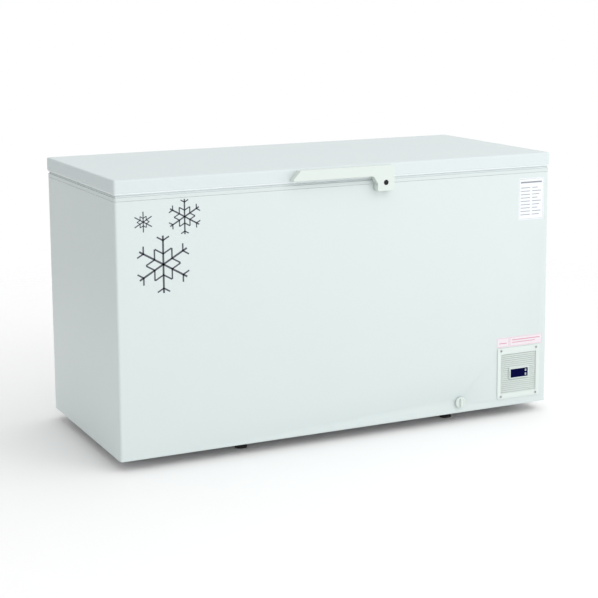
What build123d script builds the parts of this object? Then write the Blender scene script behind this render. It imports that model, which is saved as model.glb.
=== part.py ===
from build123d import *
from math import cos, pi, sin
import os

os.makedirs("parts", exist_ok=True)

# Ultra-low-temperature chest freezer. Millimetres, +Z up, +X to the machine end, -Y to the front.
# The floor is z = 0 and the cabinet is centred on X and Y.

# Cabinet
cabinet_width = 1560.0
cabinet_depth = 690.0
shell_height = 818.0
floor_gap = 35.0
shell_corner = 8.0
sheet = 1.2
base_sheet = 1.5
return_flange = 14.0
reach = 28.0  # how far the handle and the hinges stand out from the shell

# Insulated tub
wall = 105.0
floor_wall = 100.0
shelf_wall = 80.0
liner_sheet = 1.5
liner_corner = 20.0
collar_height = 12.0
collar_skin = 3.0
machine_width = 290.0
machine_head_room = 52.5  # over the taller of condenser and compressors, for the drier's lines
base_slot_length = 150.0
base_slot_width = 8.0
base_slot_first = 25.0
base_slot_pitch = 22.0

# Lid
lid_height = 45.0
lid_overhang = 2.5
lid_top_fillet = 6.0
gasket_height = 9.0
gasket_width = 25.0
gasket_inset = 2.5
gasket_pad = 3.2
gasket_neck = 4.0
lid_liner_skin = 2.5
plug_depth = 35.0
plug_clearance = 8.0
plug_corner = 16.0

# Fits
seat = 0.3
running = 0.4
pin_fit = 0.1

# Condenser and compressors, of which the taller sets the machine space's height
condenser_size = 186.0
condenser_lift = 20.0
compressor_height = 165.0
compressor_plate_thick = 3.0
mount_height = 20.0

# Levels and faces that everything else is placed from
half_width = cabinet_width / 2
half_depth = cabinet_depth / 2
front_y = -half_depth
rear_y = half_depth
shell_bottom = floor_gap
rim = shell_bottom + shell_height
collar_bottom = rim - collar_height
base_top = shell_bottom + base_sheet
lid_bottom = rim + gasket_height
lid_top = lid_bottom + lid_height
lid_front = front_y - lid_overhang
lid_rear = rear_y + lid_overhang
tub_x = (-half_width + wall, half_width - wall)
tub_y = (front_y + wall, rear_y - wall)
machine_x = (half_width - machine_width, half_width - sheet)
condenser_top = base_top + condenser_lift + condenser_size
mount_top = base_top + mount_height
shell_base = mount_top + compressor_plate_thick
shell_top = shell_base + compressor_height
machine_top = max(condenser_top, shell_top) + machine_head_room
tub_floor = shell_bottom + floor_wall
shelf = machine_top + shelf_wall
deep_x = (tub_x[0], machine_x[0] - wall)

# Evaporator band round the tub
band_depth = 5.0
band_height = 10.0
band_pitch = 70.0
band_start = 40.0
riser_from_left = 375.0

# Front grille and controller
grille_width = 170.0
grille_height = 179.0
grille_from_right = 114.0  # centre of the grille, from the right side of the shell
grille_rise = 26.0
grille_plate = 3.0
grille_corner = 5.0
grille_lip = 10.0
grille_wall = 2.5
grille_margin = 8.0
grille_screw_in = 14.0
grille_screw_up = 9.0
field_width = 143.0
field_height = 139.0
field_rise = 17.0
louvre_count = 19
louvre_slot = 3.6
window_width = 70.0
window_height = 30.0
window_rise = 72.0
window_thick = 1.5
bezel_margin = 4.0
bezel_step = 2.0
bezel_proud = 2.0
controller_depth = 45.0
key_width = 6.0
key_inset = 9.0
key_spacing = 14.0
key_height = 8.0
key_proud = 0.8
key_travel = 0.6
key_length = 6.0
grille_x = half_width - grille_from_right
grille_z = shell_bottom + grille_rise + grille_height / 2
window_x = grille_x + 2.0
window_z = shell_bottom + grille_rise + window_rise + window_height / 2
screw_radius = 4.0
screw_head = 1.6

# Drain
drain_from_machine = 59.0
drain_rise = 37.0
drain_bore = 12.0
drain_tube_radius = 9.0
drain_tube_wall = 1.5
drain_flange = 16.0
drain_flange_thick = 2.0
drain_socket_length = 30.0
plug_head = 18.5
plug_head_thick = 7.0
plug_stem_length = 22.0
grip_width = 6.0
grip_proud = 7.0
grip_corner = 2.5
grip_end_gap = 4.0
drain_z = shell_bottom + drain_rise
drain_inlet_gap = 55.0  # from the deep tub's end wall to the inlet's centre
drain_inlet_y = -150.0
drain_x = machine_x[0] - drain_from_machine
drain_inlet = (deep_x[1] - drain_inlet_gap, drain_inlet_y)

# Handle and lock
handle_left = -204.0
handle_slant = 28.0
handle_top_gap = 5.0
handle_height = 33.0
handle_wall = 3.5
handle_edge = 5.0
handle_screw_inset = 55.0
housing_width = 62.0
housing_drop = 50.0
housing_chamfer = 10.0
housing_wall = 3.0
lock_x = 130.0
lock_drop = 55.0
lock_radius = 8.5
lock_length = 18.5
lock_boss = 12.0
lock_boss_length = 13.0
keyhole_width = 2.0
keyhole_height = 8.0
keyhole_depth = 10.0
cam_length = 22.0
cam_width = 9.0
cam_thick = 2.5
nut_radius = 5.5
nut_thick = 2.5
keeper_sheet = 2.5
keeper_gap = 16.0
keeper_depth = 17.0
keeper_tab = 18.0
keeper_tab_thick = 1.5
hook_lip = 5.0
handle_top = lid_top - handle_top_gap
handle_bottom = handle_top - handle_height
handle_front = front_y - reach
housing_bottom = handle_bottom - housing_drop
lock_z = lid_top - 5.0 - lock_drop
lock_face = handle_front + 0.5
cam_y = lock_face + lock_length

# Hinges
hinge_from_end = 260.0
hinge_x = half_width - hinge_from_end
hinge_rise = 10.0
knuckle_radius = 12.0
pin_radius = 4.0
lug_thick = 12.0
lid_knuckle = 23.0
hinge_plate_width = 76.0
hinge_plate = 3.0
hinge_plate_drop = 60.0
hinge_screw_inset = 7.0
hinge_screw_low = 8.0
hinge_screw_high = 12.0
lug_drop = 26.0
lug_foot = 4.0
hinge_y = rear_y + reach - knuckle_radius
hinge_z = lid_bottom + hinge_rise

# Stand
rail_from_left = 437.0
rail_from_right = 354.0
rail_x = (-half_width + rail_from_left, half_width - rail_from_right)
rail_width = 40.0
rail_height = 20.0
rail_sheet = 2.5
rail_inset = 60.0
foot_inset = 85.0
foot_radius = 20.0
foot_height = 9.0
stud_radius = 5.0
foot_at = [(x, side * (half_depth - foot_inset)) for x in rail_x for side in (-1, 1)]

# Refrigeration
condenser_depth = 30.0
condenser_setback = 60.0
condenser_y = front_y + condenser_setback
fin_pitch = 9.0
fin_gap = 5.0
fin_cut = 8.0
shroud_depth = 34.0
shroud_wall = 2.5
shroud_rim = 9.0
tunnel_radius = condenser_size / 2 - shroud_rim
fan_tip_gap = 6.0
fan_radius = tunnel_radius - fan_tip_gap
fan_hub = 20.0
fan_depth = 16.0
fan_blades = 5
fan_blade_thick = 2.0
fan_pitch_angle = 28.0
motor_radius = 28.0
motor_length = 40.0
shaft_radius = 3.0
arm_width = 12.0
arm_thick = 3.0
compressor_spacing = 200.0
compressor_from_rear = 175.0
compressor_x = (machine_x[0] + machine_x[1]) / 2
compressor_y = (rear_y - compressor_from_rear - compressor_spacing, rear_y - compressor_from_rear)
compressor_radius = 80.0
compressor_dome = 34.0
compressor_plate = 170.0
mount_radius = 12.0
mount_spacing = 140.0
terminal_depth = 26.0
terminal_width = 56.0
terminal_height = 60.0
pipe_radius = 4.0
pipe_bend = 14.0
line_offset = 20.0  # from a compressor's axis to its lines
line_head = 30.0  # from the machine space's top down to its level lines
drier_offset = 65.0
drier_radius = 10.0
drier_length = 90.0
gland_radius = 11.0
gland_proud = 12.0
gland_inset = 70.0
gland_rise = 70.0
gland_x = machine_x[1] - gland_inset
gland_z = shell_bottom + gland_rise
vent_width = 100.0
vent_height = 6.0
vent_corner = 2.5
vent_rows = 6
vent_rise = 94.0
vent_pitch = 22.0


def facing_front(y):
    """A drawing plane at this depth: across is X, up is Z, and it looks to the front."""
    return Plane.XZ.offset(-y)


def facing_side(x):
    """A drawing plane at this width: across is Y, up is Z, and it looks to +X."""
    return Plane.YZ.offset(x)


def middle(span):
    return (span[0] + span[1]) / 2


def length(span):
    return span[1] - span[0]


def slab(x, y, z, corner=0.0, mode=Mode.ADD):
    """A level block between limits on each axis, its upright edges rounded."""
    with BuildSketch(Plane.XY.offset(z[0])) as plan:
        with Locations((middle(x), middle(y))):
            if corner:
                RectangleRounded(length(x), length(y), corner)
            else:
                Rectangle(length(x), length(y))
    extrude(plan.sketch, amount=length(z), mode=mode)


def plate(plane, at, size, thick, corner=0.0, mode=Mode.ADD):
    """Rectangles drawn on a plane at each centre and pushed along its normal."""
    with BuildSketch(plane) as face:
        with Locations(*at):
            if corner:
                RectangleRounded(size[0], size[1], corner)
            else:
                Rectangle(size[0], size[1])
    extrude(face.sketch, amount=thick, mode=mode)


def rod(plane, at, radius, long, mode=Mode.ADD):
    """Round bars drawn on a plane at each centre and pushed along its normal."""
    with BuildSketch(plane) as face:
        with Locations(*at):
            Circle(radius)
    extrude(face.sketch, amount=long, mode=mode)


def pipe(points, bend, radius, mode=Mode.ADD):
    """A round pipe along straight runs with an even bend at each turn."""
    with BuildLine() as path:
        FilletPolyline(*points, radius=bend)
    with BuildSketch(Plane(origin=path.line @ 0, z_dir=path.line % 0)) as section:
        Circle(radius)
    sweep(section.sketch, path=path.line, mode=mode)


def inside_shell(gap):
    """Limits on X and Y at this distance inside the shell's outer faces."""
    return (-half_width + gap, half_width - gap), (front_y + gap, rear_y - gap)


def tub_shape(grow, top, mode=Mode.ADD):
    """The stepped tub, larger by a given amount on its sides and floors."""
    y = (tub_y[0] - grow, tub_y[1] + grow)
    corner = liner_corner + grow
    slab((tub_x[0] - grow, tub_x[1] + grow), y, (shelf - grow, top), corner, mode)
    slab((deep_x[0] - grow, deep_x[1] + grow), y, (tub_floor - grow, top), corner, mode)


def band_levels(bottom, top):
    """Heights of the evaporator bands that fit between two levels."""
    count = int((top - bottom - band_start - band_height) // band_pitch) + 1
    return [bottom + band_start + row * band_pitch for row in range(count)]


def band_shape(mode=Mode.ADD):
    """Flat bands round both parts of the tub, joined by a riser at the back."""
    y = (tub_y[0] - liner_sheet, tub_y[1] + liner_sheet)
    wide = (y[0] - band_depth, y[1] + band_depth)
    lower = band_levels(tub_floor, shelf)
    upper = band_levels(shelf, collar_bottom)
    for x_inside, levels in ((deep_x, lower), (tub_x, upper)):
        x = (x_inside[0] - liner_sheet, x_inside[1] + liner_sheet)
        for z in levels:
            with BuildSketch(Plane.XY.offset(z)) as ring:
                with Locations((middle(x), 0)):
                    RectangleRounded(
                        length(x) + 2 * band_depth, length(wide), liner_corner + band_depth
                    )
                    RectangleRounded(length(x), length(y), liner_corner, mode=Mode.SUBTRACT)
            extrude(ring.sketch, amount=band_height, mode=mode)
    riser = (y[1], wide[1])
    half = band_height / 2
    riser_x = tub_x[0] + riser_from_left
    slab((riser_x - half, riser_x + half), riser, (lower[0], upper[-1] + band_height), 0.0, mode)


def drain_path():
    """Points from the tub floor down, across and out to the front."""
    return [
        (drain_inlet[0], drain_inlet[1], tub_floor - liner_sheet),
        (drain_inlet[0], drain_inlet[1], drain_z),
        (drain_x, drain_inlet[1], drain_z),
        (drain_x, front_y + drain_socket_length, drain_z),
    ]


# Outer cabinet

with BuildPart() as cabinet_wrap:
    slab(*inside_shell(0), (shell_bottom, collar_bottom), shell_corner)
    inner_x, inner_y = inside_shell(sheet)
    slab(inner_x, inner_y, (shell_bottom, collar_bottom), shell_corner - sheet, Mode.SUBTRACT)
    rear_gap = half_width - return_flange
    slab((-rear_gap, rear_gap), (0, rear_y), (shell_bottom, collar_bottom), 0.0, Mode.SUBTRACT)
    opening = (grille_width - 2 * grille_margin, grille_height - 2 * grille_margin)
    plate(facing_front(0), [(grille_x, grille_z)], opening, half_depth, grille_corner, Mode.SUBTRACT)
    rod(facing_front(0), [(drain_x, drain_z)], drain_bore + 2.0, half_depth, Mode.SUBTRACT)
cabinet_wrap.part.label = "cabinet_wrap"
export_step(cabinet_wrap.part, "parts/cabinet_wrap.step")

with BuildPart() as rear_panel:
    panel_x = half_width - return_flange - seat
    slab((-panel_x, panel_x), (rear_y - sheet, rear_y), (shell_bottom, collar_bottom))
    vent_at = [
        (middle(machine_x), base_top + vent_rise + row * vent_pitch) for row in range(vent_rows)
    ]
    plate(
        facing_front(rear_y),
        vent_at,
        (vent_width, vent_height),
        sheet * 2,
        vent_corner,
        Mode.SUBTRACT,
    )
    rod(facing_front(rear_y), [(gland_x, gland_z)], gland_radius * 0.7, sheet * 2, Mode.SUBTRACT)
rear_panel.part.label = "rear_panel"
export_step(rear_panel.part, "parts/rear_panel.step")

with BuildPart() as base_plate:
    slab(*inside_shell(sheet), (shell_bottom, base_top), shell_corner - sheet)
    slot_steps = [base_slot_first + step * base_slot_pitch for step in range(3)]
    slot_y = [front_y + step for step in slot_steps[:2]] + [rear_y - step for step in slot_steps]
    plate(
        Plane.XY.offset(shell_bottom),
        [(middle(machine_x), y) for y in slot_y],
        (base_slot_length, base_slot_width),
        base_sheet,
        base_slot_width * 0.45,
        Mode.SUBTRACT,
    )
base_plate.part.label = "base_plate"
export_step(base_plate.part, "parts/base_plate.step")

line_y = tub_y[1] - 2 * line_offset
line_z = machine_top - line_head

with BuildPart() as machine_partition:
    across = (front_y + sheet, rear_y - sheet)
    slab((machine_x[0] - sheet, machine_x[0]), across, (base_top, machine_top))
    slab((machine_x[0] - sheet, machine_x[1]), across, (machine_top, machine_top + sheet))
    slab(
        *inside_shell(sheet),
        (base_top, machine_top + sheet),
        shell_corner - sheet,
        Mode.INTERSECT,
    )
    rod(facing_side(machine_x[0] - sheet), [(line_y, line_z)], pipe_radius + seat, sheet, Mode.SUBTRACT)
machine_partition.part.label = "machine_partition"
export_step(machine_partition.part, "parts/machine_partition.step")

with BuildPart() as foam_core:
    slab(*inside_shell(sheet), (base_top, collar_bottom), shell_corner - sheet)
    slab(
        *inside_shell(collar_skin),
        (collar_bottom, rim - collar_skin),
        shell_corner - collar_skin,
    )
    slab(
        (machine_x[0] - sheet, half_width),
        (front_y, rear_y),
        (base_top, machine_top + sheet),
        0.0,
        Mode.SUBTRACT,
    )
    tub_shape(liner_sheet, rim, Mode.SUBTRACT)
    band_shape(Mode.SUBTRACT)
    pipe(drain_path(), 3 * drain_tube_radius, drain_tube_radius, Mode.SUBTRACT)
    rod(
        facing_front(front_y + drain_socket_length),
        [(drain_x, drain_z)],
        drain_bore + 2.0,
        drain_socket_length,
        Mode.SUBTRACT,
    )
    band_outer = deep_x[1] + liner_sheet + band_depth
    rod(
        facing_side(band_outer),
        [(line_y, line_z)],
        pipe_radius,
        machine_x[0] - band_outer,
        Mode.SUBTRACT,
    )
foam_core.part.label = "foam_core"
export_step(foam_core.part, "parts/foam_core.step")

with BuildPart() as inner_liner:
    tub_shape(liner_sheet, rim - collar_skin)
    tub_shape(0.0, rim, Mode.SUBTRACT)
    rod(
        Plane.XY.offset(tub_floor - liner_sheet),
        [drain_inlet],
        drain_tube_radius - drain_tube_wall,
        liner_sheet,
        Mode.SUBTRACT,
    )
inner_liner.part.label = "inner_liner"
export_step(inner_liner.part, "parts/inner_liner.step")

with BuildPart() as rim_collar:
    slab(*inside_shell(0), (collar_bottom, rim), shell_corner)
    slab(
        *inside_shell(collar_skin),
        (collar_bottom, rim - collar_skin),
        shell_corner - collar_skin,
        Mode.SUBTRACT,
    )
    slab(tub_x, tub_y, (collar_bottom, rim), liner_corner, Mode.SUBTRACT)
rim_collar.part.label = "rim_collar"
export_step(rim_collar.part, "parts/rim_collar.step")

with BuildPart() as evaporator_band:
    band_shape()
evaporator_band.part.label = "evaporator_band"
export_step(evaporator_band.part, "parts/evaporator_band.step")

# Drain

with BuildPart() as drain_tube:
    pipe(drain_path(), 3 * drain_tube_radius, drain_tube_radius)
    pipe(
        drain_path(),
        3 * drain_tube_radius,
        drain_tube_radius - drain_tube_wall,
        Mode.SUBTRACT,
    )
drain_tube.part.label = "drain_tube"
export_step(drain_tube.part, "parts/drain_tube.step")

with BuildPart() as drain_socket:
    rod(facing_front(front_y), [(drain_x, drain_z)], drain_flange, drain_flange_thick)
    rod(facing_front(front_y), [(drain_x, drain_z)], drain_bore + 2.0, -drain_socket_length)
    rod(
        facing_front(front_y - drain_flange_thick),
        [(drain_x, drain_z)],
        drain_bore,
        -(plug_stem_length + drain_flange_thick + 2.0),
        Mode.SUBTRACT,
    )
    rod(
        facing_front(front_y),
        [(drain_x, drain_z)],
        drain_tube_radius - drain_tube_wall,
        -drain_socket_length,
        Mode.SUBTRACT,
    )
drain_socket.part.label = "drain_socket"
export_step(drain_socket.part, "parts/drain_socket.step")

with BuildPart() as drain_plug:
    head_back = front_y - drain_flange_thick - seat
    rod(facing_front(head_back), [(drain_x, drain_z)], plug_head, plug_head_thick)
    fillet(drain_plug.edges().group_by(Axis.Y)[0], 2.0)
    rod(
        facing_front(head_back),
        [(drain_x, drain_z)],
        drain_bore - running,
        -plug_stem_length,
    )
    chamfer(drain_plug.edges().group_by(Axis.Y)[-1], 2.0)
    plate(
        facing_front(head_back - plug_head_thick),
        [(drain_x, drain_z)],
        (grip_width, 2 * (plug_head - grip_end_gap)),
        grip_proud,
        grip_corner,
    )
drain_plug.part.label = "drain_plug"
export_step(drain_plug.part, "parts/drain_plug.step")

# Front grille and controller

with BuildPart() as front_grille:
    plate(
        facing_front(front_y),
        [(grille_x, grille_z)],
        (grille_width, grille_height),
        grille_plate,
        grille_corner,
    )
    fillet(front_grille.edges().group_by(Axis.Y)[0], 1.0)
    lip = (opening[0] - 2 * seat, opening[1] - 2 * seat)
    plate(facing_front(front_y), [(grille_x, grille_z)], lip, -grille_lip, grille_corner - seat)
    hollow = (lip[0] - 2 * grille_wall, lip[1] - 2 * grille_wall)
    plate(
        facing_front(front_y),
        [(grille_x, grille_z)],
        hollow,
        -grille_lip,
        grille_wall,
        Mode.SUBTRACT,
    )
    slot_pitch = field_height / louvre_count
    field_bottom = grille_z - grille_height / 2 + field_rise
    slots = [
        (grille_x, field_bottom + (row + 0.5) * slot_pitch) for row in range(louvre_count)
    ]
    plate(
        facing_front(front_y),
        slots,
        (field_width, louvre_slot),
        grille_plate,
        louvre_slot * 0.45,
        Mode.SUBTRACT,
    )
    frame_size = (window_width + 2 * bezel_margin, window_height + 2 * bezel_margin)
    body_room = (window_width - 2 * bezel_step, window_height - 2 * bezel_step)
    plate(facing_front(front_y), [(window_x, window_z)], frame_size, grille_plate)
    plate(
        facing_front(front_y),
        [(window_x, window_z)],
        body_room,
        grille_plate,
        0.0,
        Mode.SUBTRACT,
    )
    screw_at = [
        (
            grille_x + side * (grille_width / 2 - grille_screw_in),
            grille_z + end * (grille_height / 2 - grille_screw_up),
        )
        for side in (-1, 1)
        for end in (-1, 1)
    ]
front_grille.part.label = "front_grille"
export_step(front_grille.part, "parts/front_grille.step")

with BuildPart() as grille_screws:
    rod(facing_front(front_y - grille_plate), screw_at, screw_radius, screw_head)
    fillet(grille_screws.edges().group_by(Axis.Y)[0], 0.8)
grille_screws.part.label = "grille_screws"
export_step(grille_screws.part, "parts/grille_screws.step")

window_face = front_y - grille_plate - bezel_proud
key_at = [(window_x + window_width / 2 - key_inset, window_z + end * key_spacing / 2) for end in (-1, 1)]

with BuildPart() as controller_case:
    plate(facing_front(window_face), [(window_x, window_z)], frame_size, -bezel_proud, 2.5)
    body_size = (body_room[0] - 2 * seat, body_room[1] - 2 * seat)
    plate(
        facing_front(window_face + bezel_proud),
        [(window_x, window_z)],
        body_size,
        -(controller_depth - bezel_proud),
    )
    plate(
        facing_front(window_face),
        [(window_x, window_z)],
        (window_width, window_height),
        -window_thick,
        1.0,
        Mode.SUBTRACT,
    )
    plate(
        facing_front(window_face),
        key_at,
        (key_width + 2 * running, key_height + 2 * running),
        -(key_length + key_travel),
        0.0,
        Mode.SUBTRACT,
    )
controller_case.part.label = "controller_case"
export_step(controller_case.part, "parts/controller_case.step")

with BuildPart() as controller_window:
    plate(
        facing_front(window_face),
        [(window_x, window_z)],
        (window_width - 2 * pin_fit, window_height - 2 * pin_fit),
        -window_thick,
        1.0,
    )
    plate(
        facing_front(window_face),
        key_at,
        (key_width + 2 * running, key_height + 2 * running),
        -window_thick,
        0.0,
        Mode.SUBTRACT,
    )
controller_window.part.label = "controller_window"
export_step(controller_window.part, "parts/controller_window.step")

with BuildPart() as controller_key_lower:
    plate(facing_front(window_face - key_proud), [key_at[0]], (key_width, key_height), -key_length, 1.0)
controller_key_lower.part.label = "controller_key_lower"
export_step(controller_key_lower.part, "parts/controller_key_lower.step")

with BuildPart() as controller_key_upper:
    plate(facing_front(window_face - key_proud), [key_at[1]], (key_width, key_height), -key_length, 1.0)
controller_key_upper.part.label = "controller_key_upper"
export_step(controller_key_upper.part, "parts/controller_key_upper.step")

# Refrigeration machine

condenser_back = condenser_y + condenser_depth
condenser_z = base_top + condenser_lift + condenser_size / 2
condenser_x = grille_x
side_plate_x = [condenser_x + side * (condenser_size / 2 - 1.0) for side in (-1, 1)]

with BuildPart() as condenser:
    plate(
        facing_front(condenser_y),
        [(condenser_x, condenser_z)],
        (condenser_size - 4.0, condenser_size - 4.0),
        -condenser_depth,
    )
    fin_count = int((condenser_size - 16.0) // fin_pitch)
    fin_start = condenser_x - (fin_count - 1) * fin_pitch / 2
    fin_at = [(fin_start + row * fin_pitch, condenser_z) for row in range(fin_count)]
    plate(
        facing_front(condenser_y),
        fin_at,
        (fin_gap, condenser_size - 4.0),
        -fin_cut,
        0.0,
        Mode.SUBTRACT,
    )
    for x in side_plate_x:
        slab(
            (x - 1.0, x + 1.0),
            (condenser_y, condenser_back),
            (base_top, condenser_z + condenser_size / 2),
        )
condenser.part.label = "condenser"
export_step(condenser.part, "parts/condenser.step")

with BuildPart() as fan_shroud:
    plate(
        facing_front(condenser_back),
        [(condenser_x, condenser_z)],
        (condenser_size, condenser_size),
        -shroud_depth,
    )
    inner = condenser_size - 2 * shroud_wall
    plate(
        facing_front(condenser_back),
        [(condenser_x, condenser_z)],
        (inner, inner),
        -(shroud_depth - fan_depth - 6.0),
        0.0,
        Mode.SUBTRACT,
    )
    rod(
        facing_front(condenser_back),
        [(condenser_x, condenser_z)],
        tunnel_radius,
        -shroud_depth,
        Mode.SUBTRACT,
    )
fan_shroud.part.label = "fan_shroud"
export_step(fan_shroud.part, "parts/fan_shroud.step")

shroud_back = condenser_back + shroud_depth
fan_front = shroud_back - fan_depth - 3.0
motor_front = shroud_back + arm_thick

with BuildPart() as fan_bracket:
    plate(
        facing_front(shroud_back),
        [(condenser_x, condenser_z)],
        (condenser_size, arm_width),
        -arm_thick,
    )
    plate(
        facing_front(shroud_back),
        [(condenser_x, condenser_z)],
        (arm_width, condenser_size),
        -arm_thick,
    )
    rod(facing_front(shroud_back), [(condenser_x, condenser_z)], motor_radius, -arm_thick)
    rod(
        facing_front(shroud_back),
        [(condenser_x, condenser_z)],
        shaft_radius + running,
        -arm_thick,
        Mode.SUBTRACT,
    )
fan_bracket.part.label = "fan_bracket"
export_step(fan_bracket.part, "parts/fan_bracket.step")

with BuildPart() as fan_motor:
    rod(facing_front(motor_front), [(condenser_x, condenser_z)], motor_radius, -motor_length)
    fillet(fan_motor.edges().group_by(Axis.Y)[-1], 5.0)
    rod(
        facing_front(motor_front),
        [(condenser_x, condenser_z)],
        shaft_radius + pin_fit,
        -motor_length / 2,
        Mode.SUBTRACT,
    )
fan_motor.part.label = "fan_motor"
export_step(fan_motor.part, "parts/fan_motor.step")

with BuildPart() as fan_rotor:
    hub_y = fan_front + fan_depth / 2
    tilt = fan_pitch_angle * pi / 180
    for turn in range(fan_blades):
        angle = 2 * pi / fan_blades * turn
        blade_plane = Plane(
            origin=(condenser_x, hub_y, condenser_z),
            x_dir=(cos(angle), 0, sin(angle)),
            z_dir=(-sin(angle) * sin(tilt), -cos(tilt), cos(angle) * sin(tilt)),
        )
        with BuildSketch(blade_plane.offset(-fan_blade_thick / 2)) as blade:
            with Locations(((fan_hub + fan_radius) / 2 - 2.0, 0)):
                RectangleRounded(fan_radius - fan_hub, 0.42 * fan_radius, 8.0)
        extrude(blade.sketch, amount=fan_blade_thick)
    rod(facing_front(fan_front), [(condenser_x, condenser_z)], fan_hub, -fan_depth)
    rod(
        facing_front(fan_front),
        [(condenser_x, condenser_z)],
        shaft_radius,
        -(motor_front - fan_front + motor_length / 3),
    )
fan_rotor.part.label = "fan_rotor"
export_step(fan_rotor.part, "parts/fan_rotor.step")

compressor_at = [(compressor_x, y) for y in compressor_y]
mount_at = [
    (compressor_x + side * mount_spacing / 2, y + end * mount_spacing / 2)
    for y in compressor_y
    for side in (-1, 1)
    for end in (-1, 1)
]

with BuildPart() as compressors:
    plate(
        Plane.XY.offset(mount_top),
        compressor_at,
        (compressor_plate, compressor_plate),
        compressor_plate_thick,
        18.0,
    )
    rod(Plane.XY.offset(shell_base), compressor_at, compressor_radius, compressor_height)
    fillet(compressors.edges().group_by(Axis.Z)[-1], compressor_dome)
    seam = shell_base + compressor_height * 0.5
    rod(Plane.XY.offset(seam), compressor_at, compressor_radius + 3.0, 6.0)
compressors.part.label = "compressors"
export_step(compressors.part, "parts/compressors.step")

with BuildPart() as compressor_mounts:
    rod(Plane.XY.offset(base_top), mount_at, mount_radius, mount_height)
    rod(Plane.XY.offset(base_top + 7.0), mount_at, mount_radius, 5.0, Mode.SUBTRACT)
    rod(Plane.XY.offset(base_top), mount_at, mount_radius - 3.0, mount_height)
compressor_mounts.part.label = "compressor_mounts"
export_step(compressor_mounts.part, "parts/compressor_mounts.step")

with BuildPart() as terminal_boxes:
    for y in compressor_y:
        slab(
            (compressor_x - compressor_radius - 0.4 * terminal_depth, compressor_x),
            (y - terminal_width / 2, y + terminal_width / 2),
            (seam - terminal_height - 4.0, seam - 4.0),
        )
    rod(
        Plane.XY.offset(base_top),
        compressor_at,
        compressor_radius,
        machine_top,
        Mode.SUBTRACT,
    )
terminal_boxes.part.label = "terminal_boxes"
export_step(terminal_boxes.part, "parts/terminal_boxes.step")

line_x = compressor_x - line_offset

with BuildPart() as suction_line:
    pipe(
        [
            (band_outer, line_y, line_z),
            (line_x, line_y, line_z),
            (line_x, line_y, shell_top),
        ],
        pipe_bend,
        pipe_radius,
    )
suction_line.part.label = "suction_line"
export_step(suction_line.part, "parts/suction_line.step")

drier_x = compressor_x + drier_offset
drier_y = (compressor_y[0] - compressor_radius - line_head, compressor_y[1])
drier_z = machine_top - line_head

with BuildPart() as filter_drier:
    rod(facing_front(middle(drier_y) + drier_length / 2), [(drier_x, drier_z)], drier_radius, drier_length)
    chamfer(filter_drier.edges().group_by(Axis.Y)[0], 5.0)
    chamfer(filter_drier.edges().group_by(Axis.Y)[-1], 5.0)
filter_drier.part.label = "filter_drier"
export_step(filter_drier.part, "parts/filter_drier.step")

with BuildPart() as discharge_line:
    pipe(
        [
            (drier_x, middle(drier_y) - drier_length / 2, drier_z),
            (drier_x, condenser_back - 10.0, drier_z),
            (drier_x, condenser_back - 10.0, condenser_z + condenser_size / 2 - 2.0),
        ],
        pipe_bend,
        pipe_radius,
    )
    pipe(
        [
            (drier_x, middle(drier_y) + drier_length / 2, drier_z),
            (drier_x, compressor_y[1], drier_z),
            (compressor_x + line_offset, compressor_y[1], drier_z),
            (compressor_x + line_offset, compressor_y[1], shell_top),
        ],
        pipe_bend * 0.6,
        pipe_radius,
    )
discharge_line.part.label = "discharge_line"
export_step(discharge_line.part, "parts/discharge_line.step")

with BuildPart() as cord_gland:
    rod(facing_front(rear_y), [(gland_x, gland_z)], gland_radius, -gland_proud)
    chamfer(cord_gland.edges().group_by(Axis.Y)[-1], 2.0)
    rod(facing_front(rear_y), [(gland_x, gland_z)], gland_radius * 0.7 - pin_fit, sheet + 6.0)
    rod(
        facing_front(rear_y + gland_proud),
        [(gland_x, gland_z)],
        gland_radius * 0.4,
        gland_proud + sheet + 6.0,
        Mode.SUBTRACT,
    )
cord_gland.part.label = "cord_gland"
export_step(cord_gland.part, "parts/cord_gland.step")

# Stand

rail_y = (front_y + rail_inset, rear_y - rail_inset)
rail_bottom = shell_bottom - rail_height

with BuildPart() as base_rails:
    for x in rail_x:
        slab((x - rail_width / 2, x + rail_width / 2), rail_y, (rail_bottom, shell_bottom))
        trough = rail_width / 2 - rail_sheet
        slab(
            (x - trough, x + trough),
            rail_y,
            (rail_bottom + rail_sheet, shell_bottom),
            0.0,
            Mode.SUBTRACT,
        )
    rod(Plane.XY.offset(rail_bottom), foot_at, stud_radius + pin_fit, rail_sheet, Mode.SUBTRACT)
base_rails.part.label = "base_rails"
export_step(base_rails.part, "parts/base_rails.step")

with BuildPart() as foot_pads:
    rod(Plane.XY, foot_at, foot_radius, foot_height)
    chamfer(foot_pads.edges().group_by(Axis.Z)[-1], 3.0)
foot_pads.part.label = "foot_pads"
export_step(foot_pads.part, "parts/foot_pads.step")

with BuildPart() as foot_studs:
    rod(Plane.XY.offset(foot_height), foot_at, stud_radius, shell_bottom - foot_height - 4.0)
    with BuildSketch(Plane.XY.offset(foot_height)) as nuts:
        with Locations(*foot_at):
            RegularPolygon(2 * stud_radius, 6)
    extrude(nuts.sketch, amount=rail_bottom - foot_height)
foot_studs.part.label = "foot_studs"
export_step(foot_studs.part, "parts/foot_studs.step")

# Lid

lid_x = (-half_width - lid_overhang, half_width + lid_overhang)
lid_y = (lid_front, lid_rear)
lid_in_x = (lid_x[0] + sheet, lid_x[1] - sheet)
lid_in_y = (lid_y[0] + sheet, lid_y[1] - sheet)
plug_x = (tub_x[0] + plug_clearance, tub_x[1] - plug_clearance)
plug_y = (tub_y[0] + plug_clearance, tub_y[1] - plug_clearance)
plug_in_x = (plug_x[0] + lid_liner_skin, plug_x[1] - lid_liner_skin)
plug_in_y = (plug_y[0] + lid_liner_skin, plug_y[1] - lid_liner_skin)
plug_bottom = rim - plug_depth

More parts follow.
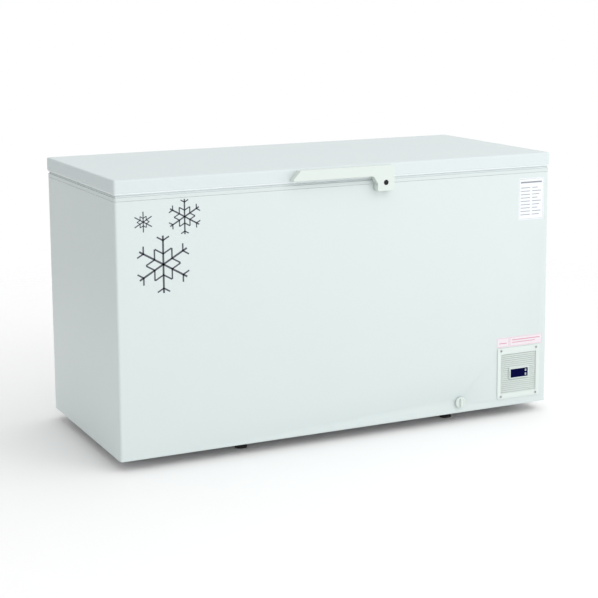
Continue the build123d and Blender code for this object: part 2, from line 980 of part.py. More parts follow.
with BuildPart() as lid_skin:
    slab(lid_x, lid_y, (lid_bottom, lid_top), shell_corner)
    fillet(lid_skin.edges().group_by(Axis.Z)[-1], lid_top_fillet)
    offset(amount=-sheet, openings=lid_skin.faces().sort_by(Axis.Z)[0])
lid_skin.part.label = "lid_skin"
export_step(lid_skin.part, "parts/lid_skin.step")

with BuildPart() as lid_liner:
    slab(lid_in_x, lid_in_y, (lid_bottom, lid_bottom + lid_liner_skin), shell_corner - sheet)
    slab(plug_x, plug_y, (plug_bottom, lid_bottom), plug_corner)
    fillet(lid_liner.edges().group_by(Axis.Z)[0], 6.0)
    slab(
        plug_in_x,
        plug_in_y,
        (plug_bottom + lid_liner_skin, lid_bottom + lid_liner_skin),
        plug_corner - lid_liner_skin,
        Mode.SUBTRACT,
    )
lid_liner.part.label = "lid_liner"
export_step(lid_liner.part, "parts/lid_liner.step")

with BuildPart() as lid_foam:
    slab(
        lid_in_x,
        lid_in_y,
        (lid_bottom + lid_liner_skin, lid_top - sheet),
        shell_corner - sheet,
    )
    fillet(lid_foam.edges().group_by(Axis.Z)[-1], lid_top_fillet - sheet)
    slab(
        plug_in_x,
        plug_in_y,
        (plug_bottom + lid_liner_skin, lid_bottom + lid_liner_skin),
        plug_corner - lid_liner_skin,
    )
lid_foam.part.label = "lid_foam"
export_step(lid_foam.part, "parts/lid_foam.step")

with BuildPart() as lid_gasket:
    gasket_x, gasket_y = inside_shell(gasket_inset)
    gasket_corner = shell_corner - gasket_inset
    slab(gasket_x, gasket_y, (rim, lid_bottom), gasket_corner)
    neck_x, neck_y = inside_shell(gasket_inset + gasket_neck)
    neck_z = (rim + gasket_pad, lid_bottom - gasket_pad)
    slab(gasket_x, gasket_y, neck_z, gasket_corner, Mode.SUBTRACT)
    slab(neck_x, neck_y, neck_z, 2.0)
    hole_x, hole_y = inside_shell(gasket_inset + gasket_width)
    slab(hole_x, hole_y, (rim, lid_bottom), 4.0, Mode.SUBTRACT)
lid_gasket.part.label = "lid_gasket"
export_step(lid_gasket.part, "parts/lid_gasket.step")

# Handle and lock

housing_x = (lock_x - housing_width / 2, lock_x + housing_width / 2)
handle_depth = lid_front - handle_front
cavity_x = (housing_x[0] + housing_wall, housing_x[1] - housing_wall)
cavity_y = (handle_front + housing_wall, lid_front)
cavity_z = (housing_bottom + housing_wall, lid_bottom + 2.0)
ear_x = (lock_x + keeper_gap, lock_x + keeper_gap + keeper_sheet)
ear_front = front_y - keeper_depth
window_gap = 2.5

with BuildPart() as lid_handle:
    with BuildSketch(facing_front(lid_front)) as outline:
        with BuildLine():
            Polyline(
                (handle_left + handle_slant, handle_top),
                (handle_left, handle_bottom),
                (housing_x[0] - housing_chamfer, handle_bottom),
                (housing_x[0], handle_bottom - 2.3 * housing_chamfer),
                (housing_x[0], housing_bottom),
                (housing_x[1], housing_bottom),
                (housing_x[1], handle_top),
                close=True,
            )
        make_face()
        fillet(outline.vertices(), 5.0)
    extrude(amount=handle_depth)
    fillet(lid_handle.faces().sort_by(Axis.Y)[0].edges(), handle_edge)
    slab(
        (handle_left + handle_slant + 2.0, housing_x[0] - housing_chamfer - 12.0),
        (handle_front + handle_wall, lid_front - handle_wall),
        (handle_bottom, handle_top - 2 * handle_wall),
        4.0,
        Mode.SUBTRACT,
    )
    slab(cavity_x, cavity_y, cavity_z, 0.0, Mode.SUBTRACT)
    slab(
        (ear_x[0] - 8.0, cavity_x[1]),
        (ear_front - window_gap, lid_front),
        (housing_bottom, cavity_z[0]),
        0.0,
        Mode.SUBTRACT,
    )
    rod(
        facing_front(cavity_y[0] + lock_boss_length),
        [(lock_x, lock_z)],
        lock_boss,
        lock_boss_length,
    )
    rod(
        facing_front(cavity_y[0] + lock_boss_length),
        [(lock_x, lock_z)],
        lock_radius + pin_fit,
        reach,
        Mode.SUBTRACT,
    )
lid_handle.part.label = "lid_handle"
export_step(lid_handle.part, "parts/lid_handle.step")

with BuildPart() as handle_screws:
    handle_screw_at = [
        (x, handle_bottom + 0.4 * handle_height)
        for x in (
            handle_left + handle_screw_inset,
            lock_x - handle_screw_inset - housing_width / 2,
        )
    ]
    rod(facing_front(lid_front - handle_wall), handle_screw_at, screw_radius, screw_head)
    fillet(handle_screws.edges().group_by(Axis.Y)[0], 0.8)
handle_screws.part.label = "handle_screws"
export_step(handle_screws.part, "parts/handle_screws.step")

with BuildPart() as lock_cylinder:
    rod(facing_front(cam_y), [(lock_x, lock_z)], lock_radius, lock_length)
    chamfer(lock_cylinder.edges().group_by(Axis.Y)[0], 0.8)
    plate(
        facing_front(lock_face),
        [(lock_x, lock_z)],
        (keyhole_width, keyhole_height),
        -keyhole_depth,
        0.0,
        Mode.SUBTRACT,
    )
lock_cylinder.part.label = "lock_cylinder"
export_step(lock_cylinder.part, "parts/lock_cylinder.step")

with BuildPart() as lock_cam:
    plate(
        facing_front(cam_y),
        [(lock_x, lock_z - (cam_length - cam_width / 2) / 2)],
        (cam_width, cam_length + cam_width / 2),
        -cam_thick,
        cam_width * 0.45,
    )
lock_cam.part.label = "lock_cam"
export_step(lock_cam.part, "parts/lock_cam.step")

with BuildPart() as lock_nut:
    with BuildSketch(facing_front(cam_y + cam_thick)) as hexagon:
        with Locations((lock_x, lock_z)):
            RegularPolygon(nut_radius, 6)
    extrude(hexagon.sketch, amount=-nut_thick)
lock_nut.part.label = "lock_nut"
export_step(lock_nut.part, "parts/lock_nut.step")

with BuildPart() as lock_keeper:
    keeper_z = (lock_z - cam_length, rim - 1.0)
    ear_z = (keeper_z[0], lock_z + cam_width / 2 + window_gap + hook_lip)
    slab((ear_x[0] - keeper_tab, ear_x[1]), (front_y - keeper_tab_thick, front_y), keeper_z)
    slab(ear_x, (ear_front, front_y - keeper_tab_thick), ear_z)
    slab(
        (ear_x[0], ear_x[1]),
        (ear_front, cam_y + cam_thick + window_gap),
        (ear_z[0], ear_z[1] - hook_lip),
        0.0,
        Mode.SUBTRACT,
    )
lock_keeper.part.label = "lock_keeper"
export_step(lock_keeper.part, "parts/lock_keeper.step")

# Hinges

hinge_at = (-hinge_x, hinge_x)
lug_offset = (lid_knuckle + lug_thick) / 2 + running
plate_z = (hinge_z - knuckle_radius - hinge_plate_drop, rim - 3.0)
plate_back = rear_y + hinge_plate

with BuildPart() as hinge_cabinet_brackets:
    for x in hinge_at:
        slab(
            (x - hinge_plate_width / 2, x + hinge_plate_width / 2),
            (rear_y, plate_back),
            (plate_z[0], collar_bottom - 3.0),
        )
        for side in (-1, 1):
            lug_x = x + side * lug_offset - lug_thick / 2
            with BuildSketch(facing_side(lug_x)) as lug:
                with BuildLine():
                    Polyline(
                        (plate_back, plate_z[0] + 4.0),
                        (plate_back, collar_bottom - 3.0),
                        (hinge_y - knuckle_radius + 0.3, hinge_z - 4.0),
                        (hinge_y, hinge_z),
                        (hinge_y + knuckle_radius, hinge_z),
                        (hinge_y + lug_foot, hinge_z - lug_drop),
                        close=True,
                    )
                make_face()
                with Locations((hinge_y, hinge_z)):
                    Circle(knuckle_radius)
                    Circle(pin_radius + pin_fit, mode=Mode.SUBTRACT)
            extrude(lug.sketch, amount=lug_thick)
hinge_cabinet_brackets.part.label = "hinge_cabinet_brackets"
export_step(hinge_cabinet_brackets.part, "parts/hinge_cabinet_brackets.step")

lid_plate_z = (hinge_z + knuckle_radius + 2.0, lid_top - lid_top_fillet)
lid_plate_back = lid_rear + hinge_plate

with BuildPart() as hinge_lid_brackets:
    for x in hinge_at:
        slab(
            (x - hinge_plate_width / 2, x + hinge_plate_width / 2),
            (lid_rear, lid_plate_back),
            lid_plate_z,
        )
        with BuildSketch(facing_side(x - lid_knuckle / 2)) as knuckle:
            with BuildLine():
                Polyline(
                    (lid_rear, hinge_z + 1.0),
                    (lid_rear, lid_plate_z[0] + 3.0),
                    (lid_plate_back, lid_plate_z[0] + 3.0),
                    (hinge_y + knuckle_radius * 0.7, hinge_z + knuckle_radius * 0.7),
                    (hinge_y, hinge_z),
                    close=True,
                )
            make_face()
            with Locations((hinge_y, hinge_z)):
                Circle(knuckle_radius)
                Circle(pin_radius + pin_fit, mode=Mode.SUBTRACT)
        extrude(knuckle.sketch, amount=lid_knuckle)
hinge_lid_brackets.part.label = "hinge_lid_brackets"
export_step(hinge_lid_brackets.part, "parts/hinge_lid_brackets.step")

with BuildPart() as hinge_pins:
    pin_half = lug_offset + lug_thick / 2 + 2.0
    for x in hinge_at:
        rod(facing_side(x - pin_half), [(hinge_y, hinge_z)], pin_radius, 2 * pin_half)
hinge_pins.part.label = "hinge_pins"
export_step(hinge_pins.part, "parts/hinge_pins.step")

screw_spread = hinge_plate_width / 2 - hinge_screw_inset

with BuildPart() as hinge_cabinet_screws:
    cabinet_screw_at = [
        (x + side * screw_spread, z)
        for x in hinge_at
        for side in (-1, 1)
        for z in (plate_z[0] + hinge_screw_low, collar_bottom - hinge_screw_high)
    ]
    rod(facing_front(plate_back), cabinet_screw_at, screw_radius, -screw_head)
hinge_cabinet_screws.part.label = "hinge_cabinet_screws"
export_step(hinge_cabinet_screws.part, "parts/hinge_cabinet_screws.step")

with BuildPart() as hinge_lid_screws:
    lid_screw_at = [
        (x + side * screw_spread, middle(lid_plate_z)) for x in hinge_at for side in (-1, 0, 1)
    ]
    rod(facing_front(lid_plate_back), lid_screw_at, screw_radius, -screw_head)
hinge_lid_screws.part.label = "hinge_lid_screws"
export_step(hinge_lid_screws.part, "parts/hinge_lid_screws.step")
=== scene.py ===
import math
import bpy
from mathutils import Matrix, Vector


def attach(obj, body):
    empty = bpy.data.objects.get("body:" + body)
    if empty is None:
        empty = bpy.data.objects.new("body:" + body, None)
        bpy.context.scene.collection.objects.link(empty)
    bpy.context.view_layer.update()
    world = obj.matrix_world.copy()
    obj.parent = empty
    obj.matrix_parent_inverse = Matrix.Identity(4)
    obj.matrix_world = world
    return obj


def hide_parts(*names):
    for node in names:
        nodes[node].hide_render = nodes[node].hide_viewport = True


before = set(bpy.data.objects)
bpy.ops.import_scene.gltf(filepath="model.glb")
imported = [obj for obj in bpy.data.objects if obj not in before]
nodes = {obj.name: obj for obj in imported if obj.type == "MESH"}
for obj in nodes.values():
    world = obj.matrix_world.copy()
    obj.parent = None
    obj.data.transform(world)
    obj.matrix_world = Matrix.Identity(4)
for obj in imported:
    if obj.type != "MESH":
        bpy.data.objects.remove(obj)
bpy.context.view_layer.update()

# Main sizes, in metres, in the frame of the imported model: the floor is z = 0 and the front is -Y.
HALF_W = 0.780
FRONT = -0.345
REAR = 0.345
SHELL_Z = 0.035
COLLAR_Z = 0.841
RIM = 0.853
LID_Z = 0.862
LID_TOP = 0.907
LID_OVER = 0.0025
SHEET = 0.0012
GRILLE = (0.666, 0.1505)
GRILLE_SIZE = (0.170, 0.179)
WINDOW = (0.668, 0.148)
WINDOW_SIZE = (0.070, 0.030)
DRAIN = (0.431, 0.072)
LOCK = (0.130, 0.847)
HANDLE_FRONT = -0.373
HINGE_X = (-0.520, 0.520)


class Socket:
    """One output in a material's tree, so that a pattern reads as plain arithmetic."""

    def __init__(self, tree, output):
        self.tree = tree
        self.output = output

    def node(self, kind, settings=None, result=0, **inputs):
        """Add a node of this kind, set or link its inputs and hand back one output."""
        made = self.tree.nodes.new(kind)
        for key, value in (settings or {}).items():
            setattr(made, key, value)
        for key, value in inputs.items():
            target = made.inputs[int(key[1:]) if key[1:].isdigit() else key.replace("_", " ")]
            if isinstance(value, Socket):
                self.tree.links.new(value.output, target)
            else:
                target.default_value = value
        return Socket(self.tree, made.outputs[result])

    def math(self, operation, *others):
        inputs = {f"i{slot}": value for slot, value in enumerate((self, *others))}
        return self.node("ShaderNodeMath", {"operation": operation}, **inputs)

    def __add__(self, other):
        return self.math("ADD", other)

    def __sub__(self, other):
        return self.math("SUBTRACT", other)

    def __mul__(self, other):
        return self.math("MULTIPLY", other)

    def __truediv__(self, other):
        return self.math("DIVIDE", other)

    def noise(self, scale, detail=2.0):
        settings = {"noise_dimensions": "3D"}
        return self.node("ShaderNodeTexNoise", settings, 0, Vector=self, Scale=scale, Detail=detail)

    def mix(self, low, high):
        """Colour between two ends, with this value as the factor."""
        settings = {"data_type": "RGBA"}
        return self.node("ShaderNodeMix", settings, 2, Factor=self, i6=(*low, 1), i7=(*high, 1))

    def axis(self, index):
        return self.node("ShaderNodeSeparateXYZ", None, index, Vector=self)

    def bump(self, distance, strength=1.0):
        return self.node("ShaderNodeBump", None, 0, Height=self, Distance=distance, Strength=strength)


def material(name, color, roughness, metallic=0.0, coat=0.0):
    """A plain surface; returns the material, its surface node and its object coordinates."""
    made = bpy.data.materials.new(name)
    made.use_nodes = True
    tree = made.node_tree
    surface = tree.nodes["Principled BSDF"]
    surface.inputs["Base Color"].default_value = (*color, 1)
    surface.inputs["Roughness"].default_value = roughness
    surface.inputs["Metallic"].default_value = metallic
    surface.inputs["Coat Weight"].default_value = coat
    place = Socket(tree, tree.nodes.new("ShaderNodeTexCoord").outputs["Object"])
    return made, surface, place


def feed(surface, name, value):
    value.tree.links.new(value.output, surface.inputs[name])


def textured(name, color, roughness, metallic=0.0, coat=0.0, grain=400.0, depth=0.00004, wear=0.04):
    """A surface with fine grain, and with roughness and tone that drift a little."""
    made, surface, place = material(name, color, roughness, metallic, coat)
    drift = place.noise(3.0, 3.0)
    darker = tuple(channel * (1 - wear) for channel in color)
    feed(surface, "Base Color", drift.mix(darker, color))
    feed(surface, "Roughness", drift * 0.12 + (roughness - 0.06))
    feed(surface, "Normal", place.noise(grain, 3.0).bump(depth, 0.6))
    return made


# Finishes

enamel = textured("white enamel", (0.640, 0.712, 0.706), 0.38, 0.0, 0.1, 700.0, 0.00002, 0.015)
top_enamel = textured("lid enamel", (0.648, 0.712, 0.718), 0.50, 0.0, 0.0, 700.0, 0.00002, 0.015)
collar_plastic = textured("collar plastic", (0.634, 0.704, 0.698), 0.38)
handle_plastic = textured("handle plastic", (0.665, 0.730, 0.690), 0.34, 0.0, 0.1, 500.0, 0.00002, 0.02)
grille_plastic = textured("grille plastic", (0.700, 0.765, 0.735), 0.46)
gasket_rubber = textured("gasket rubber", (0.700, 0.760, 0.760), 0.55)
liner_plastic = textured("lid liner plastic", (0.82, 0.86, 0.87), 0.34)
black_plastic = textured("black plastic", (0.012, 0.012, 0.014), 0.50, 0.5)
black_rubber = textured("black rubber", (0.022, 0.022, 0.022), 0.75)
black_enamel = textured("black enamel", (0.016, 0.016, 0.018), 0.40, 0.6, 0.0)
steel = textured("zinc plated steel", (0.56, 0.57, 0.58), 0.34, 0.9)
screw_steel = textured("screw steel", (0.42, 0.43, 0.44), 0.30, 1.0)
chrome = textured("chrome", (0.62, 0.63, 0.65), 0.14, 1.0)
copper = textured("copper", (0.72, 0.36, 0.22), 0.30, 1.0)
aluminium = textured("aluminium", (0.70, 0.71, 0.72), 0.36, 0.95)
label_white = textured("label face", (0.80, 0.83, 0.86), 0.30, 0.0, 0.2, 900.0, 0.00001, 0.01)
label_grey = textured("label ink", (0.26, 0.28, 0.31), 0.40, 0.0, 0.1, 900.0, 0.00001, 0.03)
label_pink = textured("label tint", (0.78, 0.72, 0.76), 0.34, 0.0, 0.1, 900.0, 0.00001, 0.02)
label_rose = textured("label line", (0.62, 0.22, 0.32), 0.34, 0.0, 0.1, 900.0, 0.00001, 0.02)
motif_grey = textured("motif ink", (0.060, 0.068, 0.085), 0.35, 0.0, 0.1, 900.0, 0.00001, 0.04)
key_grey = textured("key grey", (0.42, 0.46, 0.52), 0.42)
foam_cream = textured("rigid foam", (0.86, 0.74, 0.48), 0.85, 0.0, 0.0, 260.0, 0.0004, 0.08)

# Embossed aluminium of the tub: small pillow shapes pressed in a staggered net
embossed, embossed_surface, embossed_place = material("embossed aluminium", (0.80, 0.82, 0.83), 0.34, 0.85)
cells = embossed_place.node(
    "ShaderNodeTexVoronoi", {"feature": "F1"}, 0, Vector=embossed_place, Scale=95.0, Randomness=0.55
)
feed(embossed_surface, "Normal", cells.bump(0.0006, 0.5))
feed(embossed_surface, "Roughness", embossed_place.noise(20.0) * 0.2 + 0.26)

# Display window: almost black blue with a faint sheen
window_navy, window_surface, window_place = material("display window", (0.002, 0.002, 0.040), 0.30, 1.0)
window_tone = window_place.noise(60.0).mix((0.002, 0.002, 0.032), (0.004, 0.004, 0.052))
feed(window_surface, "Base Color", window_tone)

NODE_FINISH = {
    "cabinet_wrap": enamel, "lid_skin": top_enamel, "rear_panel": enamel, "base_plate": steel,
    "machine_partition": steel, "foam_core": foam_cream, "lid_foam": foam_cream,
    "inner_liner": embossed, "rim_collar": collar_plastic, "evaporator_band": aluminium,
    "drain_tube": liner_plastic, "drain_socket": grille_plastic, "drain_plug": grille_plastic,
    "front_grille": grille_plastic, "grille_screws": screw_steel, "controller_case": enamel,
    "controller_window": window_navy, "controller_key_lower": key_grey,
    "controller_key_upper": key_grey, "condenser": aluminium, "fan_shroud": black_enamel,
    "fan_bracket": steel, "fan_motor": black_enamel, "fan_rotor": black_plastic,
    "compressors": black_enamel, "compressor_mounts": black_rubber,
    "terminal_boxes": black_plastic, "suction_line": copper, "discharge_line": copper,
    "filter_drier": copper, "cord_gland": black_plastic, "base_rails": steel,
    "foot_pads": black_rubber, "foot_studs": steel, "lid_liner": liner_plastic,
    "lid_gasket": gasket_rubber, "lid_handle": handle_plastic, "handle_screws": screw_steel,
    "lock_cylinder": black_enamel, "lock_cam": steel, "lock_nut": steel, "lock_keeper": steel,
    "hinge_cabinet_brackets": steel, "hinge_lid_brackets": steel, "hinge_pins": screw_steel,
    "hinge_cabinet_screws": screw_steel, "hinge_lid_screws": screw_steel,
}
for name, finish in NODE_FINISH.items():
    nodes[name].data.materials.clear()
    nodes[name].data.materials.append(finish)


def apply(obj, kind, **settings):
    """Add one modifier and apply it at once."""
    modifier = obj.modifiers.new(kind.lower(), kind)
    for key, value in settings.items():
        setattr(modifier, key, value)
    bpy.ops.object.select_all(action="DESELECT")
    obj.select_set(True)
    bpy.context.view_layer.objects.active = obj
    bpy.ops.object.modifier_apply(modifier=modifier.name)


def settle(obj, name, finish):
    """Bake the place into the mesh, name the piece, and give it its finish."""
    bpy.ops.object.select_all(action="DESELECT")
    obj.select_set(True)
    bpy.context.view_layer.objects.active = obj
    bpy.ops.object.transform_apply(location=True, rotation=True, scale=True)
    obj.name = name
    obj.data.name = name
    obj.data.materials.clear()
    obj.data.materials.append(finish)
    return obj


def soften(obj, width, segments=3, angle=35):
    """Round the edges sharper than this angle and shade the piece smooth."""
    if width:
        apply(
            obj, "BEVEL", width=width, segments=segments, limit_method="ANGLE",
            angle_limit=math.radians(angle), harden_normals=False,
        )
    bpy.ops.object.select_all(action="DESELECT")
    obj.select_set(True)
    bpy.context.view_layer.objects.active = obj
    bpy.ops.object.shade_smooth_by_angle(angle=math.radians(32))
    return obj


def block(name, low, high, finish, bevel=0.0005, segments=3):
    """A box between two corners with rounded edges."""
    bpy.ops.object.select_all(action="DESELECT")
    middle = [(a + b) / 2 for a, b in zip(low, high)]
    bpy.ops.mesh.primitive_cube_add(size=1, location=middle)
    obj = bpy.context.object
    obj.scale = [b - a for a, b in zip(low, high)]
    settle(obj, name, finish)
    return soften(obj, bevel, segments)


def drum(name, at, radius, length, finish, axis="Y", bevel=0.0005, sides=64):
    """A round bar centred on a point along one axis."""
    bpy.ops.object.select_all(action="DESELECT")
    turn = {"X": (0, math.pi / 2, 0), "Y": (math.pi / 2, 0, 0), "Z": (0, 0, 0)}[axis]
    bpy.ops.mesh.primitive_cylinder_add(
        radius=radius, depth=length, vertices=sides, location=at, rotation=turn
    )
    settle(bpy.context.object, name, finish)
    return soften(bpy.context.object, bevel)


def outline_plate(name, points, front, back, finish, bevel=0.0, segments=3):
    """A flat shape drawn in X and Z, standing between two depths."""
    mesh = bpy.data.meshes.new(name)
    count = len(points)
    near = [(x, front, z) for x, z in points]
    far = [(x, back, z) for x, z in points]
    sides = [(i, (i + 1) % count, count + (i + 1) % count, count + i) for i in range(count)]
    caps = [tuple(reversed(range(count))), tuple(range(count, 2 * count))]
    mesh.from_pydata(near + far, [], sides + caps)
    mesh.validate()
    obj = bpy.data.objects.new(name, mesh)
    bpy.context.scene.collection.objects.link(obj)
    bpy.ops.object.select_all(action="DESELECT")
    obj.select_set(True)
    bpy.context.view_layer.objects.active = obj
    bpy.ops.object.mode_set(mode="EDIT")
    bpy.ops.mesh.select_all(action="SELECT")
    bpy.ops.mesh.normals_make_consistent(inside=False)
    bpy.ops.object.mode_set(mode="OBJECT")
    obj.data.materials.append(finish)
    return soften(obj, bevel, segments)


def cut(obj, *cutters):
    """Take the cutters out of a piece and remove them."""
    for cutter in cutters:
        apply(obj, "BOOLEAN", operation="DIFFERENCE", object=cutter, solver="EXACT")
        bpy.data.objects.remove(cutter)
    return obj


def join(name, pieces):
    """Make several pieces one object, each keeping its own finish."""
    bpy.ops.object.select_all(action="DESELECT")
    for piece in pieces:
        piece.select_set(True)
    bpy.context.view_layer.objects.active = pieces[0]
    bpy.ops.object.join()
    pieces[0].name = name
    pieces[0].data.name = name
    return pieces[0]


def arc(centre, radius, start, end, steps):
    """Points on an arc in X and Z, its angles in degrees from +X towards +Z."""
    turns = [math.radians(start + (end - start) * i / steps) for i in range(steps + 1)]
    return [(centre[0] + radius * math.cos(t), centre[1] + radius * math.sin(t)) for t in turns]


def rounded(low, high, radius, steps=6):
    """The outline of a rounded rectangle in X and Z."""
    corners = (
        ((high[0] - radius, low[1] + radius), -90),
        ((high[0] - radius, high[1] - radius), 0),
        ((low[0] + radius, high[1] - radius), 90),
        ((low[0] + radius, low[1] + radius), 180),
    )
    return [point for centre, start in corners for point in arc(centre, radius, start, start + 90, steps)]


def around(centre, half, radius, steps=6):
    """The outline of a rounded rectangle, from its centre and half sizes."""
    low = (centre[0] - half[0], centre[1] - half[1])
    high = (centre[0] + half[0], centre[1] + half[1])
    return rounded(low, high, radius, steps)


def plan_ring(name, x, y, radius, z_low, z_high, finish, steps=10):
    """A rounded rectangle in plan, standing between two heights."""
    shape = rounded((-x, -y), (x, y), radius, steps)
    obj = outline_plate(name, shape, z_low, z_high, finish)
    obj.data.transform(Matrix(((1, 0, 0, 0), (0, 0, 1, 0), (0, 1, 0, 0), (0, 0, 0, 1))))
    obj.data.flip_normals()
    return obj


# Cabinet wrap: a steel sheet folded round the front and both ends with soft corners, open
# at the back, with the grille's opening and the drain's hole stamped in the front.

shell_corner = 0.008
past = 0.01
wrap = plan_ring("wrap_shell", HALF_W, -FRONT, shell_corner, SHELL_Z, COLLAR_Z, enamel)
hollow = plan_ring(
    "wrap_hollow", HALF_W - SHEET, -FRONT - SHEET, shell_corner - SHEET,
    SHELL_Z - past, COLLAR_Z + past, enamel,
)
return_flange = 0.014
back_half = HALF_W - return_flange
back_gap = block(
    "back_gap", (-back_half, 0, SHELL_Z - past), (back_half, 0.36, COLLAR_Z + past), enamel, 0
)
grille_margin = 0.008
half = (GRILLE_SIZE[0] / 2 - grille_margin, GRILLE_SIZE[1] / 2 - grille_margin)
opening = block(
    "grille_opening", (GRILLE[0] - half[0], -0.36, GRILLE[1] - half[1]),
    (GRILLE[0] + half[0], -0.33, GRILLE[1] + half[1]), enamel, 0,
)
drain_hole = drum("drain_hole", (DRAIN[0], FRONT, DRAIN[1]), 0.014, 0.03, enamel, "Y", 0)
cut(wrap, hollow, back_gap, opening, drain_hole)
soften(wrap, 0.0003, 2, 60)
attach(wrap, "cabinet")
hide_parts("cabinet_wrap")

# Rim collar: the moulded frame that caps the foam. Its lower edge shows as a thin line
# under the gasket, and a pocket hollows it from below.

collar = plan_ring("rim_collar", HALF_W, -FRONT, 0.008, COLLAR_Z + 0.0006, RIM, collar_plastic)
cut(collar, plan_ring("collar_mouth", 0.675, 0.240, 0.020, COLLAR_Z - 0.01, RIM + 0.01, collar_plastic))
cut(collar, plan_ring("collar_pocket", 0.777, 0.342, 0.005, COLLAR_Z - 0.01, RIM - 0.003, collar_plastic))
soften(collar, 0.0009, 3, 50)
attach(collar, "cabinet")
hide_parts("rim_collar")

# Lid skin: one pressed steel pan with a deep skirt, softly rounded along its top edge and
# at its corners.

lid_rounding = 0.006
lid = plan_ring("lid_pan", HALF_W + LID_OVER, -FRONT + LID_OVER, shell_corner, LID_Z, LID_TOP, top_enamel)
soften(lid, lid_rounding, 6, 60)
lid_inside = LID_OVER - SHEET
lid_hollow = plan_ring(
    "lid_hollow", HALF_W + lid_inside, -FRONT + lid_inside, shell_corner - SHEET,
    LID_Z - past, LID_TOP - lid_rounding, top_enamel,
)
cut(lid, lid_hollow)
soften(lid, 0)
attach(lid, "lid")
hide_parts("lid_skin")

# Gasket: a soft extrusion with a magnet bead below and a bellows neck above.

gasket_reach = 0.0275
gasket_layers = (
    (RIM, RIM + 0.0042, 0.0028),
    (RIM + 0.0040, LID_Z - 0.0032, 0.0042),
    (LID_Z - 0.0034, LID_Z - 0.0004, 0.0030),
)
gasket_rings = []
for low, high, inset in gasket_layers:
    ring = plan_ring("gasket_ring", HALF_W - inset, -FRONT - inset, 0.005, low, high, gasket_rubber)
    inner = inset * 0.4 - gasket_reach
    hole = plan_ring(
        "gasket_hole", HALF_W + inner, -FRONT + inner, 0.004, low - past, high + past, gasket_rubber
    )
    cut(ring, hole)
    soften(ring, 0.0009, 3, 50)
    gasket_rings.append(ring)
gasket = join("lid_gasket", gasket_rings)
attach(gasket, "lid")
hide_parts("lid_gasket")

# Handle: one moulding with a long finger bar, slanted at its left end, that turns down
# into the lock housing. Its inside is hollow and open underneath.

handle_points = (
    arc((-0.172, 0.896), 0.006, 90, 138, 6)
    + arc((-0.196, 0.8735), 0.0045, 138, 270, 10)
    + [(0.078, 0.869)]
    + list(reversed(arc((0.078, 0.857), 0.012, 28, 90, 8)))[1:]
    + arc((0.107, 0.840), 0.008, 152, 180, 4)
    + arc((0.107, 0.827), 0.008, 180, 270, 8)
    + arc((0.153, 0.827), 0.008, 270, 360, 8)
    + arc((0.155, 0.896), 0.006, 0, 90, 6)
)
handle = outline_plate("lid_handle", handle_points, HANDLE_FRONT, FRONT - LID_OVER, handle_plastic)
soften(handle, 0)
weights = handle.data.attributes.new("bevel_weight_edge", "FLOAT", "EDGE")
for edge in handle.data.edges:
    ends = [handle.data.vertices[index].co for index in edge.vertices]
    weights.data[edge.index].value = 1.0 if all(end.y < HANDLE_FRONT + 0.001 for end in ends) else 0.0
apply(handle, "BEVEL", width=0.0042, segments=5, limit_method="WEIGHT")
finger = block("finger_hollow", (-0.174, -0.3695, 0.860), (0.076, -0.351, 0.896), handle_plastic, 0.003)
cavity = block("lock_cavity", (0.102, -0.370, 0.822), (0.158, -0.340, 0.864), handle_plastic, 0.001)
slot_cut = block("keeper_slot", (0.138, -0.3645, 0.810), (0.158, -0.340, 0.830), handle_plastic, 0)
lock_hole = drum("lock_hole", (LOCK[0], -0.370, LOCK[1]), 0.0087, 0.03, handle_plastic, "Y", 0)
cut(handle, finger, cavity, slot_cut, lock_hole)
boss = drum("lock_boss", (LOCK[0], -0.3637, LOCK[1]), 0.012, 0.0128, handle_plastic, "Y", 0.0004)
cut(boss, drum("boss_bore", (LOCK[0], -0.3637, LOCK[1]), 0.0087, 0.03, handle_plastic, "Y", 0))
soften(handle, 0)
handle = join("lid_handle", [handle, boss])
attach(handle, "lid")
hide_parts("lid_handle")

# Lock: a black barrel with a black keyway plug, flush with the housing.

barrel = drum("lock_barrel", (LOCK[0], -0.36325, LOCK[1]), 0.0084, 0.0185, black_enamel, "Y", 0.0007)
ring_cut = drum("barrel_recess", (LOCK[0], -0.3725, LOCK[1]), 0.0062, 0.0016, black_enamel, "Y", 0)
cut(barrel, ring_cut)
plug_face = drum("key_plug", (LOCK[0], -0.3666, LOCK[1]), 0.0060, 0.0106, black_plastic, "Y", 0.0004)
keyway = block(
    "keyway", (LOCK[0] - 0.001, -0.38, LOCK[1] - 0.0042), (LOCK[0] + 0.001, -0.366, LOCK[1] + 0.0042),
    black_plastic, 0,
)
cut(plug_face, keyway)
lock = join("lock_barrel", [barrel, plug_face])
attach(lock, "lock")
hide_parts("lock_cylinder")


def screw(name, at, radius, height, facing):
    """A pan-head screw with a cross recess; facing is -1 to the front and 1 to the back."""
    middle = (at[0], at[1] + facing * height / 2, at[2])
    head = drum(name, middle, radius, height, screw_steel, "Y", height * 0.45)
    reach = radius * 0.62
    thin = radius * 0.13
    top = at[1] + facing * height
    span = sorted((top - facing * height * 0.6, top + facing * height))
    arms = [
        block("cross", (at[0] - x, span[0], at[2] - z), (at[0] + x, span[1], at[2] + z), screw_steel, 0)
        for x, z in ((reach, thin), (thin, reach))
    ]
    cut(head, *arms)
    return head


# Front grille: a moulded panel with a raised rim, horizontal louvre blades that slope down
# to the front, four screws and a bezelled display let into the blades.

